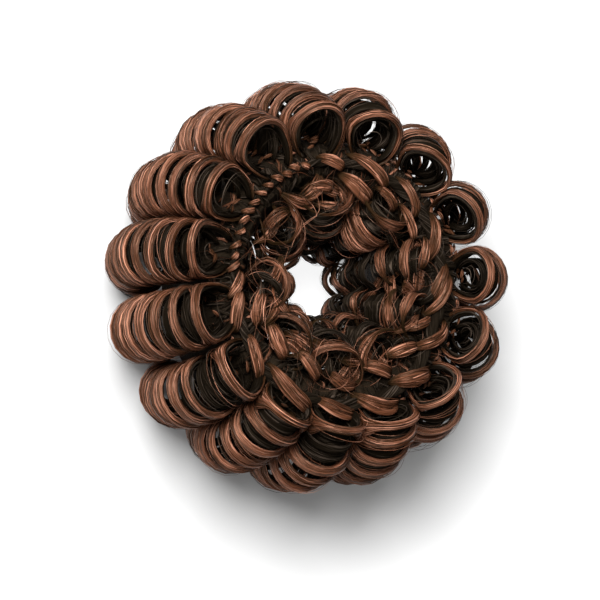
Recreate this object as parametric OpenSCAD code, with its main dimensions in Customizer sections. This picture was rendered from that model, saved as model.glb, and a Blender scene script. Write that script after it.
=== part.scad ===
/* [Core] */
// Radius of the circle that the elastic runs on
ring_r = 25.3; // [25:0.1:26]
// Half of the core's width, from the elastic to its outer face
core_half_w = 7; // [6.6:0.1:7.2]
// Half of the core's height
core_half_h = 15.7; // [15.4:0.1:16]
// Half of the flat that the rope lies on
core_half_flat = 2.5; // [2.2:0.1:2.8]
// Diameter of the elastic
elastic_d = 5; // [4:0.5:6]

/* [Outer curls] */
// Curls stacked in an outer row, which a crowded row has one more of
outer_count = 10; // [9:1:11]
// Length of the first and last curl of a row, from the core to its tip
outer_len_end = 11; // [10.4:0.2:11.4]
// Length of the curls half way along a row
outer_len_mid = 12.6; // [12:0.2:12.8]
// Radius of the first and last curl of a row
outer_r_end = 6.4; // [5.8:0.1:6.4]
// Radius of the curls half way along a row
outer_r_mid = 7.5; // [7:0.1:7.6]

/* [Inner curls] */
// Curls stacked in an inner row
inner_count = 8; // [6:1:8]
// Length of the first and last curl of an inner row
inner_len_end = 8.6; // [8:0.2:9]
// Length of the inner curls half way along a row
inner_len_mid = 11.4; // [10.8:0.2:11.6]
// Greatest radius of an inner curl
inner_r_most = 5.7; // [5.2:0.1:5.8]

/* [Hair] */
// Width of a curl's lock along its row
curl_w = 2.7; // [2.4:0.1:2.8]
// Share of a curl's radius that is open
curl_open = 0.58; // [0.5:0.01:0.58]
// Thickness of the strip that a row is sewn to
strip_t = 1.2; // [1:0.1:1.4]
// Diameter of the rope on the front, where it is thickest
rope_d = 4.4; // [4:0.1:4.6]
// How much nearer to the hole than the elastic the rope runs there
rope_in = 2.2; // [1.8:0.1:2.4]
// Turns that the rope's two plies make round each other on their way round the ring
rope_turns = 11; // [10:1:12]

/* [Hidden] */
$fn = 64;

// Gap between pieces that lie on each other, and between rows side by side
seat_gap = 0.15;
row_gap = 0.4;
elastic_gap = 0.2;

// Colours of the hair and the elastic
brown = [0.50, 0.30, 0.22];
dark_brown = [0.36, 0.21, 0.16];
black = [0.09, 0.07, 0.06];
elastic_black = [0.12, 0.12, 0.13];

// Columns of the two tables of rows: the angle where the row's middle stands, how much further than the others
// its curls stand out, and for outer rows how many curls more they have and the slope that their first curl,
// the one beside the rope, stands up with
ROW_ANGLE = 0;
ROW_REACH = 1;
ROW_EXTRA = 2;
ROW_FRONT = 3;

// Outer rows, anticlockwise from +X
outer_rows = [
    [4, 0.2, 0, 68], [28.5, -0.2, 0, 64], [52.5, 0, 0, 66], [78.5, 0.2, 0, 48], [102.5, -0.1, 0, 42],
    [124.5, 0.1, 1, 34], [151, 0.2, 1, 36], [172, 0.3, 0, 38], [196, 0.2, 0, 38], [220, 0, 0, 44],
    [243, 0.1, 0, 56], [264, 0.2, 0, 68], [287, -0.2, 0, 70], [312, -0.1, 0, 66], [339, 0, 0, 66]
];

// Inner rows, anticlockwise from +X
inner_rows = [
    [14, 0], [56, 0.2], [100, -0.2], [146, 0.2], [188, 0], [226, -0.2], [264, 0.2], [302, 0], [338, -0.2]
];

// The core's sides are arcs, and the curls stand on them like pages in a fan
side_r = (pow(core_half_w - core_half_flat, 2) + pow(core_half_h, 2)) / (2 * (core_half_w - core_half_flat));
side_back = side_r - core_half_w;
// Angle on a side's arc where the first and last curl of a row stand, and how much steeper than the arc there
// the curls of the back and of the inner rows slope
outer_end = 30;
inner_end = 27;
lean = 1.22;
// Angle on the arc by which a row's strip runs past its first and last curl
strip_over = 1.5;
// Half of a curl's width where its legs meet, and how deep its foot goes before it is cut to the core
foot_half = 1.5;
foot_depth = 0.9;
// The rope is thinnest and most tightly twisted at this angle: the share of its thickness that it loses there,
// and the turns that it gains or loses against the mean, counted round the whole ring
rope_thin_at = 150;
rope_taper = 0.5;
rope_tighten = 3;
// Rings of points along the rope, points in a ring, and the depth of the groove between its plies
rope_rings = 144;
rope_points = 10;
rope_groove = 0.38;
// Height of the ring's middle when it lies on the tips of its last curls
mid_z = side_r * sin(outer_end) + outer_len_end * sin(outer_end * lean) + curl_w / 2 * cos(outer_end * lean);

// Where a row begins and ends: half way to its neighbours
function before(rows, i) = i == 0 ? rows[len(rows) - 1][ROW_ANGLE] - 360 : rows[i - 1][ROW_ANGLE];
function after(rows, i) = i == len(rows) - 1 ? rows[0][ROW_ANGLE] + 360 : rows[i + 1][ROW_ANGLE];
function row_middle(rows, i) = (before(rows, i) + 2 * rows[i][ROW_ANGLE] + after(rows, i)) / 4;
function row_half(rows, i) = (after(rows, i) - before(rows, i)) / 4;

// Angle on the core's side of curl j, from end at the front to -end at the back
function curl_at(j, count, end) = end * (1 - 2 * j / (count - 1));
// From 0 at the ends of a row to 1 half way along it
function swell(at, end) = cos(90 * at / end);
// Slope of the curl at an angle, up from the ring's plane, in a row whose first curl slopes by front
function slope_at(at, end, front) = at > 0 ? front * at / end : lean * at;

// Distance from the ring's axis of a curl's tip
function out_to(side, at, slope, length) =
    ring_r - side * side_back + side * (side_r * cos(at) + length * cos(slope));

// Radius of a curl that leaves the gap to the next row: its middle lies its radius short of its tip,
// and there the row is as wide as the angle between its neighbours allows
function fitting_r(side, at, slope, length, half) =
    let (tip = out_to(side, at, slope, length) - curl_w / 2 * abs(sin(slope)))
    let (narrowing = side * cos(slope) * sin(half))
    (tip * sin(half) - row_gap / 2) / (1 + narrowing);

// The core's section, made larger by grow all round
module core_section(grow) {
    translate([ring_r, mid_z])
        intersection() {
            translate([-side_back, 0]) circle(r = side_r + grow);
            translate([side_back, 0]) circle(r = side_r + grow);
            square([4 * core_half_w, 2 * (core_half_h + grow)], center = true);
        }
}

module core_solid(grow) {
    rotate_extrude($fn = 120) core_section(grow);
}

// One curl in its own plane: x runs from the core to the tip, y across the row
module curl_outline(length, r) {
    middle = length - r;
    difference() {
        union() {
            translate([middle, 0]) circle(r = r);
            polygon([[-foot_half, -foot_half], [-foot_half, foot_half], [middle, 0.8 * r], [middle, -0.8 * r]]);
        }
        translate([middle, 0]) circle(r = r * curl_open);
        translate([-foot_depth - r, 0]) square(2 * r, center = true);
    }
}

// Puts what is drawn at the foot of a curl on the core's outer side, or inner side with side -1
module on_side(side, at, slope) {
    translate([ring_r - side * side_back, 0, mid_z])
        rotate([0, 0, side > 0 ? 0 : 180])
            rotate([0, -at, 0])
                translate([side_r, 0, 0])
                    rotate([0, at - slope, 0])
                        children();
}

// The strip that a row's curls are sewn to, bent round the core's side
module strip(side, end, half) {
    near = side_back * [1, tan(end)];
    far = 2 * near;
    rotate([0, 0, -half / 2])
        rotate_extrude(angle = half)
            intersection() {
                core_section(strip_t);
                translate([ring_r - side * side_back, mid_z])
                    rotate([0, 0, side > 0 ? 0 : 180])
                        polygon([[near[0], -near[1]], [far[0], -far[1]], far, near]);
            }
}

// One row of curls on its strip, seated clear of the core
module curl_row(side, rows, i, count, end, front, len_end, len_mid, r_end, r_mid) {
    half = row_half(rows, i);
    rotate([0, 0, row_middle(rows, i)])
        difference() {
            union() {
                strip(side, end + strip_over, half);
                for (j = [0:count - 1]) {
                    at = curl_at(j, count, end);
                    slope = slope_at(at, end, front);
                    grown = swell(at, end);
                    length = len_end + (len_mid + rows[i][ROW_REACH] - len_end) * grown;
                    r = min(r_end + (r_mid - r_end) * grown, fitting_r(side, at, slope, length, half));
                    on_side(side, at, slope)
                        linear_extrude(height = curl_w, center = true) curl_outline(length, r);
                }
            }
            core_solid(seat_gap);
        }
}

module outer_curls(number) {
    color(brown)
        curl_row(1, outer_rows, number - 1, outer_count + outer_rows[number - 1][ROW_EXTRA],
            outer_end, outer_rows[number - 1][ROW_FRONT],
            outer_len_end, outer_len_mid, outer_r_end, outer_r_mid);
}

module inner_curls(number) {
    color(dark_brown)
        curl_row(-1, inner_rows, number - 1, inner_count, inner_end, inner_end * lean,
            inner_len_end, inner_len_mid, inner_r_most, inner_r_most);
}

module core() {
    color(black)
        rotate_extrude($fn = 120)
            difference() {
                core_section(0);
                translate([ring_r, mid_z]) circle(d = elastic_d + 2 * elastic_gap);
            }
}

module elastic_band() {
    color(elastic_black)
        rotate_extrude($fn = 120) translate([ring_r, mid_z]) circle(d = elastic_d);
}

// How thin the rope is at an angle round the ring, from 0 to 1, and its path's radius, its own radius and its twist
function rope_thin(along) = (1 + cos(along - rope_thin_at)) / 2;
function rope_path_r(along) = ring_r - rope_in * (1 - rope_thin(along));
function rope_r(along) = rope_d / 2 * (1 - rope_taper * pow(rope_thin(along), 2));
function rope_twist(along) = rope_turns * along + rope_tighten * sin(along - rope_thin_at) * 180 / PI;

// A point of the rope's surface: its section has two lobes, one a ply, which turn as it goes round
function rope_point(ring, point) =
    let (along = 360 * ring / rope_rings)
    let (around = 360 * point / rope_points)
    let (lobes = 1 - rope_groove * (1 - abs(cos(around - rope_twist(along)))))
    let (out = rope_path_r(along) + rope_r(along) * lobes * cos(around))
    let (up = core_half_h + seat_gap + rope_r(along) * (1 + lobes * sin(around)))
    [out * cos(along), out * sin(along), mid_z + up];

function rope_index(ring, point) = (ring % rope_rings) * rope_points + point % rope_points;

module front_rope() {
    color(dark_brown)
        polyhedron(
            points = [for (i = [0:rope_rings - 1]) for (k = [0:rope_points - 1]) rope_point(i, k)],
            faces = [
                for (i = [0:rope_rings - 1]) for (k = [0:rope_points - 1]) each [
                    [rope_index(i, k), rope_index(i, k + 1), rope_index(i + 1, k + 1)],
                    [rope_index(i, k), rope_index(i + 1, k + 1), rope_index(i + 1, k)]
                ]
            ]
        );
}

elastic_band();
core();
front_rope();
outer_curls(1);  // outer_curls_01
outer_curls(2);  // outer_curls_02
outer_curls(3);  // outer_curls_03
outer_curls(4);  // outer_curls_04
outer_curls(5);  // outer_curls_05
outer_curls(6);  // outer_curls_06
outer_curls(7);  // outer_curls_07
outer_curls(8);  // outer_curls_08
outer_curls(9);  // outer_curls_09
outer_curls(10);  // outer_curls_10
outer_curls(11);  // outer_curls_11
outer_curls(12);  // outer_curls_12
outer_curls(13);  // outer_curls_13
outer_curls(14);  // outer_curls_14
outer_curls(15);  // outer_curls_15
inner_curls(1);  // inner_curls_1
inner_curls(2);  // inner_curls_2
inner_curls(3);  // inner_curls_3
inner_curls(4);  // inner_curls_4
inner_curls(5);  // inner_curls_5
inner_curls(6);  // inner_curls_6
inner_curls(7);  // inner_curls_7
inner_curls(8);  // inner_curls_8
inner_curls(9);  // inner_curls_9
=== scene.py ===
import math
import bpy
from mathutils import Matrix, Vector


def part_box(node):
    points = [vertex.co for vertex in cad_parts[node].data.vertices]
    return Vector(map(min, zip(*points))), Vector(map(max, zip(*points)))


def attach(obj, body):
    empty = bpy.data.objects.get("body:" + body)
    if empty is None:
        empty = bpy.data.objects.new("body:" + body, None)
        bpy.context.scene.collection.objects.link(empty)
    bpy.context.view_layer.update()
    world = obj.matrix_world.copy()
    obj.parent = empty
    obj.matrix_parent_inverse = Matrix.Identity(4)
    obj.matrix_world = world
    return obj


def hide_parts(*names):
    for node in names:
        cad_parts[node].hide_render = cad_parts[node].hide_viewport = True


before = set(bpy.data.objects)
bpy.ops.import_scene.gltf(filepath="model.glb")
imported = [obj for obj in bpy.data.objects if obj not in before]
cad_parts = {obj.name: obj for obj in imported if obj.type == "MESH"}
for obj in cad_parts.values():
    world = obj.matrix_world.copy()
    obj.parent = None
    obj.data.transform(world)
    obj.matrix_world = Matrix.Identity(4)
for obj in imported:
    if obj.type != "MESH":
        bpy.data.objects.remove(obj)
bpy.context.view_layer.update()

from types import SimpleNamespace

import bmesh
import bpy
import numpy as np
from mathutils import Matrix, Vector

# The view: the tie lies flat on its back and is seen from the front, 26 degrees off its axis, which leans up
# and to the right in the picture. A long lens stands about 40 cm away, and the tie is a little right of and
# above the middle.
axis_off = math.radians(26)
axis_turn = math.radians(13)
camera_off = Vector((-0.0019, -0.0029, 0.395))
# the tie's own axes as the picture shows them, which turn a way in the picture into a way in the part
hole_way = Vector((
    math.sin(axis_off) * math.cos(axis_turn), math.sin(axis_off) * math.sin(axis_turn), math.cos(axis_off)))
level_way = Vector((1, 0, 0))
right_way = (level_way - level_way.dot(hole_way) * hole_way).normalized()
up_way = hole_way.cross(right_way)
to_part = Matrix((right_way, up_way, hole_way))
core_low, core_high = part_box("core")
middle_z = (core_low.z + core_high.z) / 2
ring_middle = Vector((0, 0, middle_z))
camera_data = bpy.data.cameras.new("camera")
camera_data.lens = 108
camera_data.sensor_width = 36
camera_data.clip_start = 0.01
camera_data.clip_end = 10
camera = bpy.data.objects.new("camera", camera_data)
camera.matrix_world = Matrix.Translation(ring_middle + to_part @ camera_off) @ to_part.to_4x4()
bpy.context.scene.collection.objects.link(camera)
bpy.context.scene.camera = camera

# The stage: a wide pale floor that glows in the tie's hole and far off, so that it is white there, under a
# white surround. A large soft light stands above the tie in the picture and a weak one below it and a little
# to the left, so that every curl has a lit side and the shadow falls softly below the tie.
floor_half = 3
bm = bmesh.new()
bmesh.ops.create_grid(bm, x_segments=1, y_segments=1, size=floor_half)
floor_mesh = bpy.data.meshes.new("floor")
bm.to_mesh(floor_mesh)
bm.free()
floor = bpy.data.objects.new("floor", floor_mesh)
bpy.context.scene.collection.objects.link(floor)


class Wire:
    """An output of a material's nodes that can stand in sums."""

    def __init__(self, tree, socket=None):
        self.tree = tree
        self.socket = socket

    def node(self, kind, settings=None, out=0, **values):
        """A new node and its output of this number. A value is named after its socket, or n and a number."""
        made = self.tree.nodes.new("ShaderNode" + kind)
        for name, value in (settings or {}).items():
            setattr(made, name, value)
        for name, value in values.items():
            by_number = name[0] == "n" and name[1:].isdigit()
            socket = made.inputs[int(name[1:]) if by_number else name.replace("_", " ")]
            if isinstance(value, Wire):
                self.tree.links.new(value.socket, socket)
            else:
                socket.default_value = value
        return Wire(self.tree, made.outputs[out]) if made.outputs else None

    def maths(self, operation, first, second):
        return self.node("Math", {"operation": operation}, n0=first, n1=second)

    def __add__(self, other):
        return self.maths("ADD", self, other)

    def __radd__(self, other):
        return self.maths("ADD", other, self)

    def __mul__(self, other):
        return self.maths("MULTIPLY", self, other)

    def __rmul__(self, other):
        return self.maths("MULTIPLY", other, self)

    def __pow__(self, other):
        return self.maths("POWER", self, other)

    def parts(self):
        """The three numbers of a vector."""
        return [self.node("SeparateXYZ", out=number, Vector=self) for number in range(3)]

    def eased(self, start, stop, low=0.0, high=1.0):
        """Goes smoothly from low to high while this goes from start to stop."""
        return self.node(
            "MapRange", {"interpolation_type": "SMOOTHSTEP"}, Value=self, From_Min=start, From_Max=stop,
            To_Min=low, To_Max=high)

    def colour(self, at_nought, at_one):
        """The colour that lies this far between two others."""
        first, second = [end if isinstance(end, Wire) else (*end, 1) for end in (at_nought, at_one)]
        return self.node("Mix", {"data_type": "RGBA"}, out=2, n0=self, n6=first, n7=second)


def new_material(name):
    material = bpy.data.materials.new(name)
    material.use_nodes = True
    material.node_tree.nodes.clear()
    return material, Wire(material.node_tree)


white_floor, tree = new_material("white_floor")
here = tree.node("TexCoord", out=3)
grain = tree.node("TexNoise", Vector=here, Scale=40.0, Detail=2.0)
tone = grain.colour((0.36, 0.36, 0.36), (0.38, 0.38, 0.38))
# the glow ends between the first two distances from the axis, and begins again between the next two
off_axis = tree.node("VectorMath", {"operation": "LENGTH"}, out=1, n0=here)
in_hole = off_axis.eased(0.015, 0.027, low=0.9, high=0.02)
far_off = off_axis.eased(0.055, 0.1, low=0.0, high=0.6)
glow = (in_hole + far_off).colour((0, 0, 0), (1, 1, 1))
paper = tree.node(
    "BsdfPrincipled", Base_Color=tone, Roughness=0.6, Emission_Color=glow, Emission_Strength=1.0)
tree.node("OutputMaterial", Surface=paper)
floor.data.materials.append(white_floor)

world = bpy.data.worlds.new("surround")
world.use_nodes = True
surround = world.node_tree.nodes["Background"]
surround.inputs["Color"].default_value = (1, 1, 1, 1)
surround.inputs["Strength"].default_value = 0.3
bpy.context.scene.world = world
bpy.context.scene.view_settings.view_transform = "Standard"

# name, its way from the tie in the picture, metres away, metres wide, watts
lights = [
    ("main_light", (-0.08, 0.43, 0.905), 0.9, 0.5, 29.5),
    ("front_light", (-0.15, -0.85, 0.7), 1.2, 0.3, 4.4),
]
for name, way, distance, wide, watts in lights:
    light_data = bpy.data.lights.new(name, "AREA")
    light_data.size = wide
    light_data.energy = watts
    light = bpy.data.objects.new(name, light_data)
    out = (to_part @ Vector(way)).normalized()
    facing = out.to_track_quat("Z", "Y").to_matrix().to_4x4()
    light.matrix_world = Matrix.Translation(ring_middle + out * distance) @ facing
    bpy.context.scene.collection.objects.link(light)

# Elastic: a round band of black rubber cord that runs inside the core, so only its material is dressed.
# Extruded rubber has a faint grain and a dull bloom.
rubber, tree = new_material("elastic_rubber")
bloom = tree.node("TexNoise", Vector=tree.node("TexCoord", out=3), Scale=900.0, Detail=3.0)
tone = bloom.colour((0.012, 0.012, 0.013), (0.03, 0.03, 0.032))
grain = tree.node("Bump", Height=bloom, Strength=0.15, Distance=0.0002)
band = tree.node("BsdfPrincipled", Base_Color=tone, Roughness=0.55 + bloom * 0.2, Normal=grain)
tree.node("OutputMaterial", Surface=band)
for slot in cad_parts["elastic_band"].material_slots:
    slot.material = rubber

# Core: a padded ring wound with the black hair that the curls are sewn to. The winding runs round the ring's
# section, so its streaks are fine along the ring and long across it.
core_hair, tree = new_material("core_hair")
x, y, z = tree.node("TexCoord", out=3).parts()
around = tree.maths("ARCTAN2", y, x)
windings = tree.node("CombineXYZ", X=around * 90.0, Y=z * 60.0, Z=0.0)
streaks = tree.node("TexNoise", Vector=windings, Scale=3.0, Detail=4.0, Roughness=0.65)
tone = (streaks ** 2.0).colour((0.006, 0.0042, 0.0026), (0.02, 0.014, 0.009))
fibres = tree.node("Bump", Height=streaks, Strength=0.8, Distance=0.0006)
wound = tree.node(
    "BsdfPrincipled", Base_Color=tone, Roughness=0.55, Specular_IOR_Level=0.1,
    Specular_Tint=(1.0, 0.7, 0.45, 1), Normal=fibres)
tree.node("OutputMaterial", Surface=wound)
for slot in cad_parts["core"].material_slots:
    slot.material = core_hair


# Outer curls: fifteen rows of machine-set loops of synthetic hair, stacked from the front of the ring, round
# its outside, to its back. Between the brown loops lie black ones, deeper in. Every loop is a bundle of
# single strands, and its feet are gathered and sewn to the core.
def hair_material(name, deep, dark, light, painted_highlight, roughness, gloss, gloss_tint):
    """Hair of one dye. deep: the colour of its painted shade, where a lock lies deep inside.
    dark, light: its strands' colours. shine: the colour of the painted highlight on its brightest streaks.
    """
    material, tree = new_material(name)
    along, across, which = tree.node("Attribute", {"attribute_name": "strand"}, out=1).parts()
    buried = tree.node("Attribute", {"attribute_name": "buried"}, out=2)
    # streaks are long along a strand and narrow across it, and no two locks have the same ones
    fine = tree.node("CombineXYZ", X=along * 0.07, Y=across * 0.9, Z=which * 17.0)
    streaks = tree.node("TexNoise", Vector=fine, Scale=1.0, Detail=3.0, Roughness=0.62)
    patches = tree.node("TexNoise", Vector=fine, Scale=0.3, Detail=1.0)
    tone = (streaks * 0.7 + patches * 0.3).eased(0.41, 0.58).colour(dark, light)
    # the brightest streaks are given a painted highlight
    tone = (streaks.eased(0.53, 0.66) * 0.85).colour(tone, painted_highlight)
    # painted shade: the colour goes over to the shade colour as far as the lock is painted dark
    tone = buried.colour(tone, deep)
    rough = roughness + streaks * 0.2
    ridges = tree.node("Bump", Height=streaks, Strength=1.0, Distance=0.0007)
    shiny = tree.node(
        "BsdfPrincipled", Base_Color=tone, Roughness=rough, Specular_IOR_Level=gloss,
        Specular_Tint=(*gloss_tint, 1), Normal=ridges)
    # hair that lies deep in the lock, where the painted shade is, has no gloss of its own
    dull = tree.node(
        "BsdfPrincipled", Base_Color=tone, Roughness=rough, Specular_IOR_Level=0.0, Normal=ridges)
    shade_share = tree.node("MapRange", Value=buried, From_Min=0.0, From_Max=0.5)
    hair = tree.node("MixShader", n0=shade_share, n1=shiny, n2=dull)
    tree.node("OutputMaterial", Surface=hair)
    return material


brown_hair = hair_material(
    "brown_hair", deep=(0.014, 0.008, 0.0034), dark=(0.026, 0.0105, 0.005), light=(0.115, 0.038, 0.018),
    painted_highlight=(0.45, 0.21, 0.135), roughness=0.32, gloss=0.6, gloss_tint=(1.0, 0.58, 0.4))
black_hair = hair_material(
    "black_hair", deep=(0.0032, 0.0022, 0.0013), dark=(0.0035, 0.0025, 0.0016), light=(0.009, 0.0064, 0.004),
    painted_highlight=(0.075, 0.055, 0.042), roughness=0.38, gloss=0.09, gloss_tint=(1.0, 0.72, 0.5))

# sizes of hair are in millimetres, and Locks.piece makes them metres
millimetre = 0.001
mid_z = middle_z / millimetre
up = np.array([0, 0, 1.0])
# half the thickness of a hair that lies alone, and of the coarser ones in a lock's skin, least and most
bare_strand = 0.045
skin_strand = (0.06, 0.13)
# below this height hair is pressed flat, and this is how near it comes to the floor
pressed_from = 0.3
floor_gap = 0.03
# a tube with more sides than this has grooves between its strands, as deep as this share of its thickness
plain_sides = 6
groove_depth = 0.3


def smooth(value):
    value = np.clip(value, 0, 1)
    return value * value * (3 - 2 * value)


def unit(ways):
    return ways / np.maximum(np.linalg.norm(ways, axis=-1, keepdims=True), 1e-9)


def deal(low, high, count):
    """A column of random numbers."""
    return luck.uniform(low, high, count)[:, None]


class Locks:
    """Tubes of hair gathered for one piece: whole locks and single strands, swept along their paths."""

    def __init__(self):
        self.corners = []
        self.faces = []
        self.marks = []
        self.painted_shades = []
        self.kinds = []
        self.on_map = []
        self.total = 0
        self.rows = 0

    def add(self, paths, wide_way, deep_way, wide, deep, sides, black, which, spans, buried):
        """One tube along a path of (points, 3), or more along (tubes, points, 3). wide and deep: half its
        width and depth. which: sets its streaks apart from others'. spans: how many streaks it is wide.
        The last argument is how much painted shade it has: from 0 at the lock's skin to 1 deep in the dark."""
        if paths.ndim == 2:
            paths = paths[None]
        tubes, points = paths.shape[:2]
        wide_way = np.broadcast_to(wide_way, paths.shape)
        deep_way = np.broadcast_to(deep_way, paths.shape)
        wide = np.broadcast_to(wide, (tubes, points))[:, :, None, None]
        deep = np.broadcast_to(deep, (tubes, points))[:, :, None, None]
        turn = np.arange(sides) * 2 * np.pi / sides
        grooves = np.ones((tubes, 1, sides, 1))
        if sides > plain_sides:
            grooves = 1 - groove_depth * luck.random((tubes, 1, sides, 1))
        skin = paths[:, :, None, :] + grooves * (
            wide_way[:, :, None, :] * wide * np.cos(turn)[None, None, :, None]
            + deep_way[:, :, None, :] * deep * np.sin(turn)[None, None, :, None]
        )
        self.corners.append(skin.reshape(-1, 3))
        step = np.linalg.norm(np.diff(paths, axis=1), axis=2)
        along = np.concatenate([np.zeros((tubes, 1)), np.cumsum(step, axis=1)], axis=1)
        mark = np.zeros((tubes, points, sides, 3))
        mark[..., 0] = along[:, :, None]
        mark[..., 1] = (np.abs(turn - np.pi) / np.pi * spans)[None, None, :]
        mark[..., 2] = np.broadcast_to(which, (tubes,))[:, None, None]
        self.marks.append(mark.reshape(-1, 3))
        # how much painted shade each corner has
        self.painted_shades.append(np.repeat(np.broadcast_to(buried, (tubes, points)).reshape(-1), sides))
        index = self.total + np.arange(tubes * points * sides).reshape(tubes, points, sides)
        after = np.roll(index, -1, axis=2)
        quads = np.stack([index[:, :-1], after[:, :-1], after[:, 1:], index[:, 1:]], axis=-1).reshape(-1, 4)
        # on the map every tube has a band of its own, as high as it has sides
        seams = (tubes, points, sides + 1)
        part = np.broadcast_to((np.arange(points) / (points - 1))[None, :, None], seams)
        side = np.broadcast_to(np.arange(sides + 1), seams)
        flat = np.stack([part, self.rows + np.arange(tubes)[:, None, None] * (sides + 1) + side], axis=-1)
        sheet = np.stack([flat[:, :-1, :-1], flat[:, :-1, 1:], flat[:, 1:, 1:], flat[:, 1:, :-1]], axis=-2)
        sheet = sheet.reshape(-1, 4, 2)
        starts = index[:, 0]
        stops = index[:, -1]
        # faces look outwards, whichever way the tube's own axes turn
        if np.linalg.det(np.stack([paths[0, 1] - paths[0, 0], wide_way[0, 0], deep_way[0, 0]])) < 0:
            quads = quads[:, ::-1]
            sheet = sheet[:, ::-1]
            stops = stops[:, ::-1]
        else:
            starts = starts[:, ::-1]
        self.on_map += [sheet.reshape(-1, 2)]
        self.on_map += [flat[:, 0, :-1].reshape(-1, 2), flat[:, -1, :-1].reshape(-1, 2)]
        made = quads.tolist() + starts.tolist() + stops.tolist()
        self.faces += made
        self.kinds += [int(black)] * len(made)
        self.total += tubes * points * sides
        self.rows += tubes * (sides + 1)

    def strands(self, paths, wide_way, deep_way, size, black, which, spans, buried):
        """Single hairs, one along each path, with three sides. size: half their thickness."""
        self.add(paths, wide_way, deep_way, size, size, 3, black, which, spans, buried)

    def piece(self, name, slot, *nodes):
        """The gathered hair as one object that rides on the ring and stands for these nodes."""
        mesh = bpy.data.meshes.new(name)
        corners = np.concatenate(self.corners)
        # hair that would reach below the floor is pressed flat on it
        squeeze = pressed_from - floor_gap
        below = np.minimum(corners[:, 2], pressed_from) - pressed_from
        pressed = floor_gap + squeeze * np.exp(below / squeeze)
        corners[:, 2] = np.where(corners[:, 2] < pressed_from, pressed, corners[:, 2])
        mesh.from_pydata(corners * millimetre, [], self.faces)
        mark = mesh.attributes.new("strand", "FLOAT_VECTOR", "POINT")
        mark.data.foreach_set("vector", np.concatenate(self.marks).ravel())
        # the painted shade goes with the mesh as an attribute, for the hair's materials
        depth = mesh.attributes.new("buried", "FLOAT", "POINT")
        depth.data.foreach_set("value", np.concatenate(self.painted_shades))
        on_map = np.concatenate(self.on_map)
        on_map[:, 1] /= self.rows
        mesh.uv_layers.new(name="OFBake").data.foreach_set("uv", on_map.ravel())
        mesh.materials.append(brown_hair)
        mesh.materials.append(black_hair)
        mesh.polygons.foreach_set("material_index", self.kinds)
        mesh.polygons.foreach_set("use_smooth", [True] * len(self.kinds))
        mesh.update()
        piece = bpy.data.objects.new(name, mesh)
        bpy.context.scene.collection.objects.link(piece)
        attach(piece, "root")
        if nodes:
            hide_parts(*nodes)


# sizes of the core, and of the loops that stand on it
ring_r = 25.3  # radius of the circle that runs through the middle of the core
side_r = 29.638  # the core's two sides are arcs of this radius
side_back = 22.638  # about points this far to the other side of that circle
lean = 1.22  # how much faster the loops tilt than they climb round the side
half_gap = 0.2  # half the room left between rows
spare = 0.4  # what a loop may take of its neighbour's room, because hair gives way
round_to = 1.1  # radians from its tip to where a loop's round part ends
feet_at = 156  # degrees from its tip to its feet, to which it runs straight
wider_mid = 4  # degrees that the feet stand wider in a row's middle
wider_first = 8  # and at a row's first loops
foot_high = 6  # the feet are narrowed and set aside up to this height over the core
foot_sunk = 0.4  # and sunk into it this deep
front_share = 0.4  # share of half a row that is drawn to the seam under the rope
shorter_first = 0.7  # how much shorter the first loops are where the row has gaps
# how much one loop differs from the next in an even row
place_off = 0.09  # of the way to the next loop
tilt_off = 2  # degrees, as are the next two
twist_off = 4
feet_off = 4
aside_off = 0.7  # of its feet, in millimetres
r_off = (-0.35, 0.1)  # of its radius, in millimetres
most_narrow = 0.16  # share of its width that a loop lacks at its feet


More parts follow.
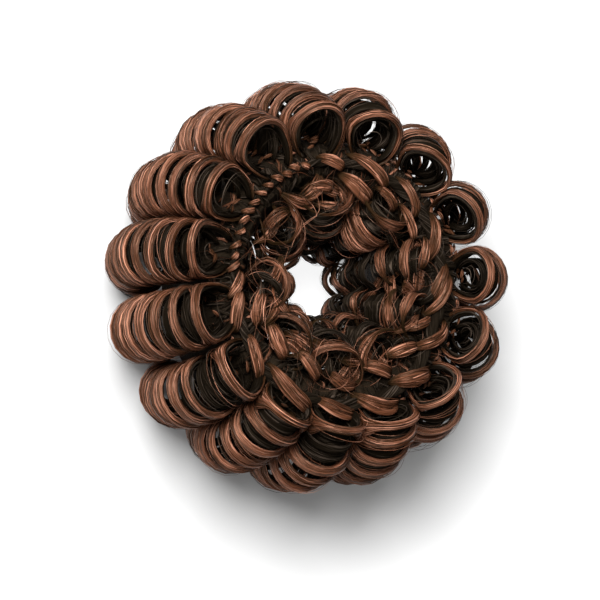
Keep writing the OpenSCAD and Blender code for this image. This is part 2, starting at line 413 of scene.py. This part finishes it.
class Curl:
    """One flat loop of a row: where it stands on the core, and its outline."""

    def __init__(self, kind, row, half_step):
        side = kind.side
        self.row_side = row.aside
        self.nth = half_step / 2
        if half_step > 0:
            self.nth += luck.uniform(-place_off, place_off) * kind.loose
        # 1 at the front of the ring and -1 at its back
        share = 1 - 2 * self.nth / (row.count - 1)
        at = math.radians(kind.end * share)
        self.steep = row.front / kind.end if share > 0 else lean
        slope = at * self.steep + math.radians(luck.uniform(-tilt_off, tilt_off) * kind.loose)
        grown = math.cos(math.pi / 2 * share)
        self.at_front = smooth((share - (1 - front_share)) / front_share)
        len_mid = kind.len_mid + row.longer
        length = kind.len_end + (len_mid - kind.len_end) * grown + spare * luck.uniform(-0.3, 1)
        length -= shorter_first * row.slits * self.at_front
        tip = ring_r - side * side_back + side * (side_r * math.cos(at) + length * math.cos(slope))
        fits = (tip * math.sin(row.half) - half_gap) / (1 + side * math.cos(slope) * math.sin(row.half))
        grown_r = kind.r_end + (kind.r_mid - kind.r_end) * grown
        self.r = min(grown_r, fits + spare) + luck.uniform(*r_off) * kind.loose
        foot_out = ring_r - side * side_back + side * side_r * math.cos(at)
        self.foot = row.out * foot_out + up * (mid_z + side_r * math.sin(at))
        self.out = row.out * side * math.cos(slope) + up * math.sin(slope)
        self.stack = -row.out * side * math.sin(slope) + up * math.cos(slope)
        self.twist = math.radians(luck.uniform(-twist_off, twist_off) * kind.loose)
        wider = wider_mid * grown
        foot_turn = feet_at - wider - wider_first * (half_step < 3) + luck.uniform(-feet_off, feet_off)
        self.foot_turn = math.radians(foot_turn)
        self.foot_aside = luck.uniform(-aside_off, aside_off) * kind.loose
        self.narrow = luck.uniform(0.0, most_narrow)
        self.middle = length - self.r
        # the feet of the first loops run to the seam under the rope, less far along where the row is steep
        self.seam_out = self.at_front * kind.to_seam[0]
        self.seam_aside = self.at_front * kind.to_seam[1] * (1.45 - row.front / 60)

    def line(self, turns, inset, aside):
        """Points of the loop at these angles from its tip, set in from its outline and aside along the row.
        Also the way outward there."""
        reach = (self.middle + foot_sunk) / np.cos(math.pi - self.foot_turn)
        to_foot = smooth((np.abs(turns) - round_to) / (self.foot_turn - round_to))
        round_r = self.r + (reach - self.r) * to_foot - inset
        far = self.middle + round_r * np.cos(turns)
        low = smooth(1 - far / foot_high)
        across = round_r * np.sin(turns) * (1 - self.narrow * low) + self.foot_aside * low
        stacked = np.broadcast_to(aside, far.shape) + self.seam_aside * low
        far = far + self.seam_out * low
        across, stacked = (
            across * math.cos(self.twist) - stacked * math.sin(self.twist),
            across * math.sin(self.twist) + stacked * math.cos(self.twist),
        )
        outward = np.cos(turns)[..., None] * self.out + np.sin(turns)[..., None] * self.row_side
        spot = self.foot + far[..., None] * self.out + across[..., None] * self.row_side
        return spot + stacked[..., None] * self.stack, outward


# the first loops are looked at closely, and the last ones lie at the back
# points along a loop, sides of its lock, strands in the lock's skin
details = [
    (21, 10, 17),
    (17, 8, 9),
    (17, 6, 3),
]
looked_into = 5  # half steps from the front in which loops can be looked into
# painted shade at the feet of the loops, and over how much of a loop it fades
foot_painted_shade = 0.94  # how dark a lock is at its feet
dark_over = 0.27  # share of its length over which it comes out into the light
gathered = 0.45  # share of its width that it keeps at its feet
gathered_over = 0.2  # share of its length over which it is drawn together
widest = 2.1  # half width that no lock passes
spread_from = 0.75  # radians from a loop's tip to where its hair begins to spread
black_deep = 0.4  # half depth of the black locks between the loops
black_inset = 2.0  # how far they lie inside the loops' outline
more_inset = 0.9  # how much further a whole loop of black hair lies in
lining_inset = 1.45  # how far the lining of the first loops lies inside their outline


def lay_hair(locks, kind, row, curl, half_step, black):
    """A loop's own lock and strands, and the single hairs about it. half_step: even for a loop, odd for the
    black lock between two."""
    outside = kind.side > 0
    between = half_step % 2 == 1
    recessed = between or (outside and black)
    first = half_step < looked_into
    near = sum(curl.nth >= stop for stop in kind.detail_stops)
    points, sides, strands = details[near]
    slits = row.slits
    part = np.linspace(0, 1, points)
    turns = (part * 2 - 1) * curl.foot_turn
    fan = 1 + np.maximum(curl.middle + curl.r * np.cos(turns), 0) * curl.steep / side_r
    to_end = np.minimum(part, 1 - part)
    # painted shade: a lock is painted dark towards its feet
    buried = foot_painted_shade * (1 - smooth((to_end - kind.foot_shade) / dark_over))
    gather = gathered + (1 - gathered) * smooth(to_end / gathered_over)
    # brown hair is gathered at a loop's tip and spreads over the neighbouring loops at its sides
    spread = smooth(np.abs(turns) - spread_from) * row.spread_by
    side_wide = np.minimum((0.46 + 0.06 * luck.random()) * row.pitch * fan, widest)
    tip_wide = kind.lock_wide * (1 - 0.25 * slits) * luck.uniform(0.72, 1.2)
    if recessed:
        gap = row.least_gap * luck.uniform(0.5, 1)
        if row.black_loops == (1,) and 0 < half_step < 4:
            # a row's only black loop and the locks beside it are slim
            gap = 1.0
        wide = (0.56 * row.pitch * fan - 0.45 * tip_wide) * (1 - 0.7 * gap) * gather
        deep = black_deep
        inset = black_inset + 1.2 * slits + (more_inset if not between else 0) + luck.uniform(-0.3, 0.5)
        bodies = 2
        strands = strands // 2
        # the recessed black locks on the outside are painted dark as shade, and so lose their gloss
        buried = np.maximum(buried, 0.5 if outside else 0)
    else:
        wide = (tip_wide + (np.maximum(side_wide, tip_wide) - tip_wide) * spread) * gather
        thick = row.thick
        if not outside and not black:
            # only a stretch of an inner loop shows brown: it tapers, and towards its ends
            # the lock is painted dark as shade where it sinks into the dark hair
            off_stretch = np.abs(turns - luck.uniform(-1.1, 1.1)) - luck.uniform(0.3, 0.9)
            stretch = 1 - smooth(off_stretch / 0.9)
            wide = wide * (0.3 + 0.9 * stretch)
            buried = np.maximum(buried, 0.96 * (1 - stretch))
            thick = thick * (0.45 + 0.75 * stretch)
        deep = thick * (1 - 0.5 * spread)
        inset = 0.9 * thick
        bodies = 2 if near == 0 and outside else 1
    # an outer row's first loop spreads only to the back, so that the row's face stays a clean ring
    back_by = -(wide - tip_wide * gather) if half_step == 0 and outside else 0 * wide
    which = luck.uniform(0, 100)
    for body in range(bodies):
        shift = ((body + 0.5) / bodies - 0.5) * 2 * wide * 0.92 + back_by
        rise = inset + (0.25 if bodies > 1 else 0.1) * luck.uniform(-0.6, 1)
        line, outward = curl.line(turns, rise, shift)
        locks.add(line, curl.stack, outward, 1.12 * wide / bodies, 0.85 * deep * gather, sides, black,
                  which=which + body, spans=9.0 / bodies, buried=buried)

    # strands lie in the lock's skin, and each one drifts a little
    angle = deal(-0.25, np.pi + 0.25, strands)
    far = deal(0.9, 1.18, strands)
    drift = kind.drift * np.sin(2 * np.pi * (part * deal(0.4, 1.3, strands) + deal(0, 1, strands)))
    shift = (far * np.cos(angle) + drift) * wide + back_by
    rise = np.maximum(inset - (far * np.sin(angle) + drift) * deep * gather, -0.15)
    line, outward = curl.line(np.broadcast_to(turns, shift.shape), rise, shift)
    size = deal(*skin_strand, strands)
    # each strand is darkened at random, and at least as much as the lock's painted shade
    tone_and_painted_shade = np.maximum(buried, deal(-0.5, 0.75, strands))
    locks.strands(line, curl.stack, outward, size, black, which=luck.uniform(0, 100, strands), spans=0.5,
                  buried=tone_and_painted_shade)

    if first and not between and outside:
        # black hair lines the loops that can be looked into, with the loop's painted shade
        line, outward = curl.line(turns, lining_inset + 0.1 * np.sin(3 * turns), -0.25)
        locks.add(line, curl.stack, outward, 1.05 * np.maximum(wide, 0.8), 0.3 * gather, 6, True,
                  which=luck.uniform(0, 100), spans=6.0, buried=buried)

    # hairs that have come loose from the lock bow out of it
    strays = 2 if near == 0 else 1
    spring = np.sin(np.pi * part) ** 2 * (0.05 + 0.9 * deal(0, 1, strays) ** 2)
    spring = spring * (1 if outside or first else 0.3)
    shift = (deal(-0.5, 0.5, strays) + 0.4 * np.sin(np.pi * part + deal(0, 6, strays))) * row.pitch
    line, outward = curl.line(np.broadcast_to(turns, shift.shape), 0.3 - spring, shift)
    locks.strands(line, curl.stack, outward, bare_strand, luck.random() < 0.5,
                  which=luck.uniform(0, 100, strays), spans=0.3, buried=0.0)

    if first and not between:
        # fine hair inside the loop, in smaller bows, with half the loop's painted shade
        hairs = kind.fine_hairs
        swing = turns * deal(0.7, 1, hairs) + deal(-0.3, 0.3, hairs)
        rise = deal(1.2, 0.7 * curl.r, hairs) + 0.5 * np.sin(3 * part + deal(0, 6, hairs))
        shift = (deal(-0.7, 0.6, hairs) + 0.6 * deal(-1, 1, hairs) * np.sin(np.pi * part)) * row.pitch
        line, outward = curl.line(swing, rise, shift)
        size = 0.06 * deal(0.6, 1.2, hairs)
        locks.strands(line, curl.stack, outward, size, True, which=luck.uniform(0, 100, hairs), spans=0.3,
                      buried=0.5 * buried)


def next_angle(rows, number):
    """The angle of the row after this one, counted on past the full circle."""
    return rows[(number + 1) % len(rows)][0] + (360 if number == len(rows) - 1 else 0)


def curl_row(kind, rows, number, count, front, slits, black_loops):
    """One row's loops, with black locks between them. front: the first loop's slope in degrees. slits: how
    far the black hair leaves gaps, 0 to 1. black_loops: numbers of an outer row's loops that are black."""
    before = rows[number - 1][0] - (360 if number == 0 else 0)
    after = next_angle(rows, number)
    turn = math.radians((before + 2 * rows[number][0] + after) / 4)
    outside = kind.side > 0
    row = SimpleNamespace(
        out=np.array([math.cos(turn), math.sin(turn), 0]),
        aside=np.array([-math.sin(turn), math.cos(turn), 0]) * kind.side,
        half=math.radians((after - before) / 4),
        pitch=math.radians(2 * kind.end / (count - 1)) * side_r,
        longer=rows[number][1],
        count=count,
        front=front,
        slits=slits,
        black_loops=black_loops,
        spread_by=1 - 0.75 * slits if outside else 0.45,  # how far brown hair spreads at a loop's sides
        least_gap=max(slits, 0.6) if outside else 0.1,  # how slim the black locks are
        thick=0.85 - 0.35 * slits if outside else 0.5,  # half depth of a brown lock
    )
    locks = Locks()
    for half_step in range(2 * count - 1):
        if half_step % 2 == 1:
            black = True
        elif outside:
            black = half_step // 2 in black_loops
        else:
            black = half_step > 0 and luck.random() < inner_black_share
        lay_hair(locks, kind, row, Curl(kind, row, half_step), half_step, black)
    return locks


outer = SimpleNamespace(
    side=1,  # 1 on the ring's outside, -1 in its hole
    end=30,  # degrees round the core's side from its middle to a row's first loop
    len_end=11.3,  # from foot to tip at a row's ends
    len_mid=12.6,  # and in its middle
    r_end=6.9,  # a loop's radius at a row's ends
    r_mid=7.7,  # and in its middle
    loose=1,  # how uneven the loops are
    lock_wide=0.88,  # half width of a brown lock at its tip
    drift=0.14,  # how far strands stray in a lock's skin
    foot_shade=0.03,  # share of a loop at each foot that is wholly in the dark
    fine_hairs=4,  # inside each of the first loops
    to_seam=(-0.9, 3.4),  # how far the first loops' feet are pulled to the seam, out and along the row
    detail_stops=(4, 7.5),  # loops after which there is less detail
)
outer_loops = 10
# angle round the ring, loops longer by, loops more than ten, slope of the first loop
outer_rows = [
    (4, 0.2, 0, 68), (28.5, -0.2, 0, 64), (52.5, 0, 0, 66), (78.5, 0.2, 0, 48), (102.5, -0.1, 0, 42),
    (124.5, 0.1, 1, 34), (151, 0.2, 1, 36), (172, 0.3, 0, 38), (196, 0.2, 0, 38), (220, 0, 0, 44),
    (243, 0.1, 0, 56), (264, 0.2, 0, 68), (287, -0.2, 0, 70), (312, -0.1, 0, 66), (339, 0, 0, 66),
]
# the rows on the right show gaps and two black loops, and two rows below show one
gaps_from = 10
one_black_loop = (220, 264)
for number, (angle, _, extra, front) in enumerate(outer_rows):
    luck = np.random.default_rng(100 + number)
    slits = 0.9 * smooth((math.cos(math.radians(angle - gaps_from)) - 0.1) / 0.6)
    black_loops = (1, 4) if slits > 0.3 else (1,) if angle in one_black_loop else ()
    locks = curl_row(outer, outer_rows, number, outer_loops + extra, front, slits, black_loops)
    name = "outer_curls_%02d" % (number + 1)
    locks.piece("hair_" + name, "curled_hair", name)

# Inner curls: nine rows of smaller, longer loops that point into the hole and crowd together there. They are
# the same hair, looser and less even, more than half of them black, and the brown ones show brown only for a
# stretch and are painted dark as shade beyond it.
inner = SimpleNamespace(
    side=-1, end=27, len_end=9.4, len_mid=11.4, r_end=6.2, r_mid=5.3, loose=4.5, lock_wide=1.0, drift=0.4,
    foot_shade=0.1, fine_hairs=8, to_seam=(0.5, 1.0), detail_stops=(3, 5.5))
inner_black_share = 0.55
inner_slits = 0.2
inner_loops = 8
# angle round the ring, loops longer by
inner_rows = [
    (14, 0), (56, 0.2), (100, -0.2), (146, 0.2), (188, 0), (226, -0.2), (264, 0.2), (302, 0), (338, -0.2),
]
for number in range(len(inner_rows)):
    luck = np.random.default_rng(200 + number)
    locks = curl_row(inner, inner_rows, number, inner_loops, inner.end * lean, inner_slits, ())
    name = "inner_curls_%d" % (number + 1)
    locks.piece("hair_" + name, "curled_hair", name)


# Bows: flat locks of the inner curls that have slipped out of their rows and lie across each other over the
# hole's edge. Each is a ribbon of strands that fans out in its middle and dives into the dark hair at both
# ends.
on_front_from = 1  # one that leans further, in radians, lies on the front and not on the hole's wall
hole_r_front = 14.4  # the hole stays open to this radius at the front
hole_r_wall = 10.5  # and to this one further in
bow_long = (7.5, 11.0)  # length, least and most
bow_wide = (0.8, 1.5)  # half width
bow_strand = (0.07, 0.16)  # half thickness of its strands


def bows(locks, count, black, strands, sizes, turns_from, leans):
    """sizes: their radius of bend, least and most. turns_from: the stretch round the ring that they lie in.
    leans: degrees from the hole's wall towards the front, least and most."""
    for _ in range(count):
        turn = luck.uniform(*turns_from)
        lean_by = math.radians(luck.uniform(*leans))
        on_front = lean_by > on_front_from
        size = luck.uniform(*sizes)
        inwards = -math.cos(lean_by)
        away = np.array([inwards * math.cos(turn), inwards * math.sin(turn), math.sin(lean_by)])
        normal = away + luck.normal(0, 0.25, 3)
        normal /= np.linalg.norm(normal)
        side_way = np.cross(normal, (math.cos(turn), math.sin(turn), 0.7))
        side_way /= np.linalg.norm(side_way)
        out_way = np.cross(side_way, normal)
        faces = (math.pi if luck.random() < 0.65 else 0) + luck.normal(0, 0.6)
        long = luck.uniform(*bow_long)
        part = np.linspace(-1, 1, 12)
        turns = faces + part * long / size / 2
        full = np.clip(1 - 0.75 * np.abs(part) ** 2.5, 0.15, 1)
        wide = luck.uniform(*bow_wide)
        if on_front:
            radius = luck.uniform(15, 20.5)
            high = 16.6 + luck.uniform(-2.2, 0.8)
        else:
            off_core = side_r + luck.uniform(5, 7.5)
            radius = ring_r + side_back - off_core * math.cos(lean_by)
            high = off_core * math.sin(lean_by)
        hole_r = hole_r_front if on_front else hole_r_wall
        middle = np.array([radius * math.cos(turn), radius * math.sin(turn), mid_z + high])
        centre = middle - size * (math.cos(faces) * out_way + math.sin(faces) * side_way)
        dip = 2.4 * np.abs(part) ** 3
        # painted shade: a bow is painted dark towards both ends, where it dives into the dark hair, its flat
        # body a little all along, and each strand is darkened at random as well
        buried = 0.97 * smooth((np.abs(part) - 0.2) / 0.7)
        which = luck.uniform(0, 100)

        def path(aside, over):
            """The bow's line moved aside in its plane and raised over it, and the way across it."""
            ray = np.cos(turns)[:, None] * out_way + np.sin(turns)[:, None] * side_way
            line = centre + ray * (size + aside)[:, None] + normal * (over - dip)[:, None]
            out = np.hypot(line[:, 0], line[:, 1])
            line[:, :2] *= (np.clip(out, hole_r + 0.4 * aside, 24) / out)[:, None]
            return line, ray

        line, ray = path(0 * part, 0 * part)
        locks.add(line, ray, normal, 0.75 * wide * full, 0.26 * full, 10, black, which=which, spans=9.0,
                  buried=np.maximum(buried, 0.35))
        for _ in range(strands):
            share = luck.uniform(-1, 1)
            drift = 0.22 * np.sin(luck.uniform(1, 4) * part + luck.uniform(0, 6))
            over = 0.26 * full * math.sqrt(1 - share * share) * luck.uniform(0.9, 1.6)
            line, ray = path((share + drift) * 1.1 * wide * full, over)
            thick = luck.uniform(*bow_strand)
            locks.strands(line, ray, normal, thick, black, which=luck.uniform(0, 100), spans=0.5,
                          buried=np.maximum(buried, luck.uniform(-0.5, 0.7)))


luck = np.random.default_rng(230)
locks = Locks()
# radians round the ring, and degrees of lean
whole_ring = (0, 2 * math.pi)
right_half = (-1.2, 1.4)
on_edge = (66, 104)
on_wall = (-4, 24)
bows(locks, 24, True, strands=8, sizes=(4.5, 9.0), turns_from=whole_ring, leans=on_edge)
bows(locks, 32, False, strands=16, sizes=(4.5, 12.0), turns_from=whole_ring, leans=on_edge)
bows(locks, 14, False, strands=13, sizes=(3.5, 8.0), turns_from=right_half, leans=on_wall)
# black hair fills the valleys between the rows, in two layers: height over the core, half width
valley_layers = [(1.0, 2.1), (2.6, 1.3)]
valley = np.radians(np.linspace(-inner.end, inner.end, 11))
for number, (angle, _) in enumerate(inner_rows):
    turn = math.radians((angle + next_angle(inner_rows, number)) / 2)
    for rise, wide in valley_layers:
        out = ring_r + side_back - (side_r + rise) * np.cos(valley)
        high = mid_z + (side_r + rise) * np.sin(valley)
        line = np.stack([out * math.cos(turn), out * math.sin(turn), high], axis=-1)
        wide_way = np.broadcast_to(np.array([-math.sin(turn), math.cos(turn), 0]), line.shape)
        deep_way = unit(np.cross(unit(np.gradient(line, axis=0)), wide_way))
        # these black locks have a little painted shade all along
        locks.add(line, wide_way, deep_way, wide + 0.3 * np.sin(9 * valley + turn), 0.4, 8, True,
                  which=luck.uniform(0, 100), spans=8.0, buried=0.3)
# and single hairs lie loose over them all
for black, count in ((True, 110), (False, 60)):
    part = np.linspace(0, 1, 11)
    turn = deal(0, 2 * np.pi, count)
    middle_x = deal(16, 20, count) * np.cos(turn)
    middle_y = deal(16, 20, count) * np.sin(turn)
    size = deal(2.5, 7, count)
    sweep = deal(0, 2 * np.pi, count) + part * deal(1.2, 3.5, count)
    high = mid_z + 16.8 + deal(-1.5, 1.8, count) + 1.5 * np.sin(np.pi * part)
    line = np.stack([middle_x + size * np.cos(sweep), middle_y + size * np.sin(sweep), high], axis=-1)
    out = np.hypot(line[..., 0], line[..., 1])
    line[..., :2] *= (np.maximum(out, 14.5) / out)[..., None]
    ahead = unit(np.gradient(line, axis=1))
    wide_way = unit(np.cross(up, ahead))
    locks.strands(line, wide_way, np.cross(ahead, wide_way), bare_strand, black,
                  which=luck.uniform(0, 100, count), spans=0.3, buried=0.0)
locks.piece("hair_inner_bows", "curled_hair")

# Front rope: brown locks, and now and then a black one, twisted round black hair, laid over the join on the
# front and tacked down. It is thin and tight on one side of the ring, and fuller, looser and nearer to the
# hole on the other. Each lock comes up from the black twist, crosses it and goes under again.
core_high_by = 15.7  # from the core's middle to its front
seat = 0.15  # room between the core and what lies on it
rope_turns = 11  # of its twist, round the whole ring
rope_r_full = 2.2  # half its thickness where it is fullest
thin_at = math.radians(150)  # where it is thinnest
tight_at = 142  # degrees round the ring where its locks are shortest
lock_full = 11.4  # length of a lock on the loose side
lock_tight = 2.8  # and on the tight side
short_lock = 4  # up to this length a lock is one stitch of the tight side
# degrees off the rope's way, half width for a rope of half thickness 1, points along one, sides
loose_lock = ((12, 36), (0.68, 0.86), 15, 14)
tight_lock = ((30, 60), (0.38, 0.52), 9, 10)
slimmer_right = 0.36  # share of their width that the loose locks lack on the right
lock_thick = 0.26  # half depth of a lock for a rope of half thickness 1
lock_strand = (0.07, 0.15)  # half thickness of its strands, least and most


def off_thin(turn):
    """0 where the rope is thinnest, 1 across the ring from there."""
    return (1 - np.cos(turn - thin_at)) / 2


def right_side(turn):
    return smooth((np.cos(turn - math.radians(15)) - 0.3) / 0.5)


def low_side(turn):
    return smooth((np.cos(turn - math.radians(265)) - 0.3) / 0.6)


def rope_path(turn):
    return ring_r - 2.2 * off_thin(turn) + 3.0 * low_side(turn)


def rope_thick(turn):
    return rope_r_full * (1 - 0.5 * (1 - off_thin(turn)) ** 2)


def rope_height(turn):
    return mid_z + core_high_by + seat + 0.9 * rope_thick(turn)


def lock_long(turn):
    off_tight = np.abs((np.degrees(turn) - tight_at + 180) % 360 - 180)
    return lock_full - (lock_full - lock_tight) * smooth((62 - off_tight) / 32)


def black_twist(locks, along, radius, height, rope_r, twist):
    """Three plies of black hair that turn round each other, with a little painted shade all along."""
    ring_out = np.stack([np.cos(along), np.sin(along), 0 * along], axis=1)
    for ply in range(3):
        turn = twist + ply * 2 * np.pi / 3
        ply_out = ring_out * np.cos(turn)[:, None] + up * np.sin(turn)[:, None]
        ply_side = -ring_out * np.sin(turn)[:, None] + up * np.cos(turn)[:, None]
        centre = ring_out * radius[:, None] + up * height[:, None]
        middle = centre + ply_out * (0.38 * rope_r)[:, None]
        locks.add(middle, ply_out, ply_side, 0.4 * rope_r, 0.5 * rope_r, 10, True,
                  which=ply * 31.0, spans=9.0, buried=0.3)


def crossing_locks(locks, starts, radius_at, height_at, rope_r_at, long_at, strands, black_share):
    """Spindle-shaped locks whose middles stand at these angles."""
    for start in starts:
        black = luck.random() < black_share
        rope_r = float(rope_r_at(start))
        long = float(long_at(start)) * luck.uniform(0.8, 1.2)
        ways, widths, points, sides = loose_lock if long > short_lock else tight_lock
        way = math.radians(luck.uniform(*ways))
        wide = luck.uniform(*widths)
        if long > short_lock:
            wide *= 1 - slimmer_right * float(right_side(start))
        wide *= rope_r
        part = np.linspace(-1, 1, points)
        full = np.clip(1 - 0.4 * part ** 2 - 0.4 * part ** 6, 0.1, 1)
        bend = luck.uniform(-0.12, 0.12)
        laid_aside = (luck.uniform(-0.25, 0.25) + 0.4 * float(low_side(start))) * rope_r

        def path(across, over):
            """The lock's line moved across it and raised over it, and the ways ahead and across there."""
            step = part * long / 2
            round_by = step * math.cos(way) - across * math.sin(way)
            outward = step * math.sin(way) + across * math.cos(way) + laid_aside
            outward = outward + bend * long * (1 - part * part)
            outward = outward * np.clip(1.25 * rope_r / np.maximum(np.abs(outward), 1e-3), 0, 1)
            turn = start + round_by / ring_r
            radius = radius_at(turn) + outward
            crown = np.sqrt(np.clip(1 - (outward / (1.35 * rope_r)) ** 2, 0, 1))
            height = height_at(turn) + rope_r * (crown - 0.12) - 1.1 * rope_r * np.abs(part) ** 3 + over
            line = np.stack([radius * np.cos(turn), radius * np.sin(turn), height], axis=-1)
            ahead = unit(np.gradient(line, axis=0))
            return line, ahead, unit(np.cross(up, ahead))

        which = luck.uniform(0, 100)
        # painted shade: a lock is painted dark towards both ends, where it goes under the twist, its body a
        # little all along, and each strand is darkened at random as well
        buried = 0.98 * smooth((np.abs(part) - 0.38) / 0.56)
        line, ahead, wide_way = path(0.0, 0.0)
        deep = lock_thick * rope_r * full
        locks.add(line, wide_way, np.cross(ahead, wide_way), 1.15 * wide * full, deep, sides, black,
                  which=which, spans=8.0, buried=np.maximum(buried, 0.3))
        for _ in range(strands):
            share = luck.uniform(-1, 1)
            drift = 0.12 * np.sin(luck.uniform(1, 4) * part + luck.uniform(0, 6))
            over = deep * math.sqrt(1 - share * share) * luck.uniform(0.9, 1.5)
            line, ahead, wide_way = path((share + drift) * 1.05 * wide * full, over)
            size = luck.uniform(*lock_strand)
            locks.strands(line, wide_way, np.cross(ahead, wide_way), size, black, which=luck.uniform(0, 100),
                          spans=0.5, buried=np.maximum(buried, luck.uniform(-0.5, 0.7)))


luck = np.random.default_rng(300)
locks = Locks()
along = np.linspace(0, 2 * np.pi, 241)
rope_twist = rope_turns * along + 3 * np.sin(along - thin_at)
black_twist(locks, along, rope_path(along), rope_height(along), 0.9 * rope_thick(along), rope_twist)
starts = []
at = 0.0
while at < 2 * math.pi - 0.05:
    starts.append(at)
    packed = luck.uniform(0.82, 0.98) if lock_long(at) > short_lock else luck.uniform(0.8, 1.1)
    at += float(lock_long(at)) * packed / ring_r
crossing_locks(
    locks, starts, rope_path, rope_height, rope_thick, lock_long, strands=20, black_share=0.02)
locks.piece("hair_front_rope", "roped_hair", "front_rope")

# Second rope: a looser twist of the same hair beside the first, on the side of the hole, where two chains of
# locks lie side by side. Its ends are tucked under the first.
second_r = 20.6
second_thick = 2.0
second_long = 10.4
second_high = 16.8
second_from = math.radians(-160)
second_to = math.radians(92)


def second_path(turn):
    return second_r - 0.4 * low_side(turn)


def second_height(turn):
    return mid_z + second_high + 0.5 * np.sin(5 * turn)


luck = np.random.default_rng(310)
locks = Locks()
starts = []
at = second_from
while at < second_to:
    starts.append(at)
    at += luck.uniform(7.0, 8.8) / second_r
crossing_locks(
    locks, starts, second_path, second_height, lambda turn: second_thick, lambda turn: second_long,
    strands=17, black_share=0.12)
locks.piece("hair_second_rope", "roped_hair")

# Tufts: short locks and hairs that lie over the front of the core, where the feet of the curls run together
# under the rope. They are the ends of the sewn hair, black and brown.
core_flat = 2.5  # half width of the core's flat front


def core_top(across):
    """Height of the core's skin above its middle, this far from the circle of its elastic."""
    round_down = np.sqrt(np.maximum(side_r ** 2 - (np.abs(across) + side_back) ** 2, 1))
    return np.where(np.abs(across) < core_flat, core_high_by, round_down)


def tufts(locks, count, long, wide, deep, points, sides, black, reach):
    """reach: how far from the ring's middle circle they start, inwards and outwards."""
    part = np.linspace(-1, 1, points)
    turn = deal(0, 2 * np.pi, count)
    across = deal(*reach, count)
    way = luck.normal(0, 0.4, count)[:, None]
    size = long * deal(0.6, 1.3, count)
    across = across + size / 2 * np.cos(way) * part + 0.3 * np.sin(2 * part + 6 * turn)
    turn = turn + size / 2 * np.sin(way) * part / ring_r
    lift = 0.1 + deal(0.1, 0.9, count) * (1 - part ** 2)
    out = ring_r + across
    line = np.stack([out * np.cos(turn), out * np.sin(turn), mid_z + core_top(across) + lift], axis=-1)
    ahead = unit(np.gradient(line, axis=1))
    wide_way = unit(np.cross(up, ahead))
    full = np.sqrt(np.clip(1.04 - part ** 2, 0.04, 1)) * deal(0.6, 1.2, count)
    # the tufts have a little painted shade all along
    locks.add(line, wide_way, np.cross(ahead, wide_way), wide * full, deep * full, sides, black,
              which=luck.uniform(0, 100, count), spans=5.0, buried=0.25)


luck = np.random.default_rng(400)
locks = Locks()
# how many, length, half width, half depth, points along one, sides, black, from how far in to how far out
tuft_kinds = [
    (330, 5.5, 0.42, 0.28, 6, 6, True, (-3.6, 3.8)),
    (50, 3.6, 0.42, 0.26, 7, 8, False, (-3.4, 3.6)),
    (320, 5.0, 0.07, 0.07, 6, 3, True, (-3.8, 4.0)),
    (160, 5.0, 0.07, 0.07, 7, 3, False, (-3.8, 4.0)),
]
for kind in tuft_kinds:
    tufts(locks, *kind)
locks.piece("hair_seam_tufts", "roped_hair")


# Knots: small knots of mostly brown hair that tie each row down. Four lie in the valley beside each row's
# front, and the others deeper, along the tunnel's floor.
def knot(locks, middle, way, buried):
    way = way + luck.uniform(-0.6, 0.6, 3)
    way = way / np.linalg.norm(way)
    wide_way = np.cross(way, (0.3, 0.2, 1.0))
    wide_way /= np.linalg.norm(wide_way)
    part = np.linspace(-1, 1, 6)
    scale = knot_size * luck.uniform(0.7, 1.3)
    line = middle + way * (part * 1.1 * scale)[:, None] + up * (0.35 * scale * (1 - part ** 2))[:, None]
    fat = 0.42 * scale * np.sqrt(np.clip(1.02 - part ** 2, 0.02, 1))
    locks.add(line, wide_way, np.cross(way, wide_way), fat, 0.8 * fat, 6, luck.random() < 0.2,
              which=luck.uniform(0, 100), spans=5.0, buried=buried)


knot_size = 0.9
knot_top = 15.6  # no knot's foot stands higher than this over the core's middle
# share of the way to the next row, height over the core, degrees round the core's side, how much painted
# shade
valley_knots = [(0.5, 0.6, 33, 0.0), (0.42, 0.6, 28, 0.0), (0.56, 0.5, 24, 0.0), (0.5, 0.5, 29, 0.0)]
tunnel_knots = 14
# the knots along the tunnel's floor are painted dark as shade
tunnel_painted_shade = 0.6
luck = np.random.default_rng(410)
locks = Locks()
ties = []
for number, (angle, *_) in enumerate(outer_rows):
    after = next_angle(outer_rows, number)
    spots = list(valley_knots)
    for _ in range(tunnel_knots):
        spots.append((luck.uniform(-0.2, 0.2), luck.uniform(0.3, 1.3), luck.uniform(2, 33), tunnel_painted_shade))
    for aside, out_by, at, buried in spots:
        turn = math.radians(angle + (after - angle) * aside + luck.uniform(-1.5, 1.5))
        at = math.radians(at + luck.uniform(-2, 2))
        out = side_r * math.cos(at) + out_by - side_back + ring_r
        high = mid_z + min(side_r * math.sin(at), knot_top) + out_by
        middle = np.array([out * math.cos(turn), out * math.sin(turn), high])
        ties.append((middle, np.array([-math.sin(turn), math.cos(turn), 0.0]), buried))
for middle, way, buried in ties:
    knot(locks, middle, way, buried)
locks.piece("hair_knots", "roped_hair")
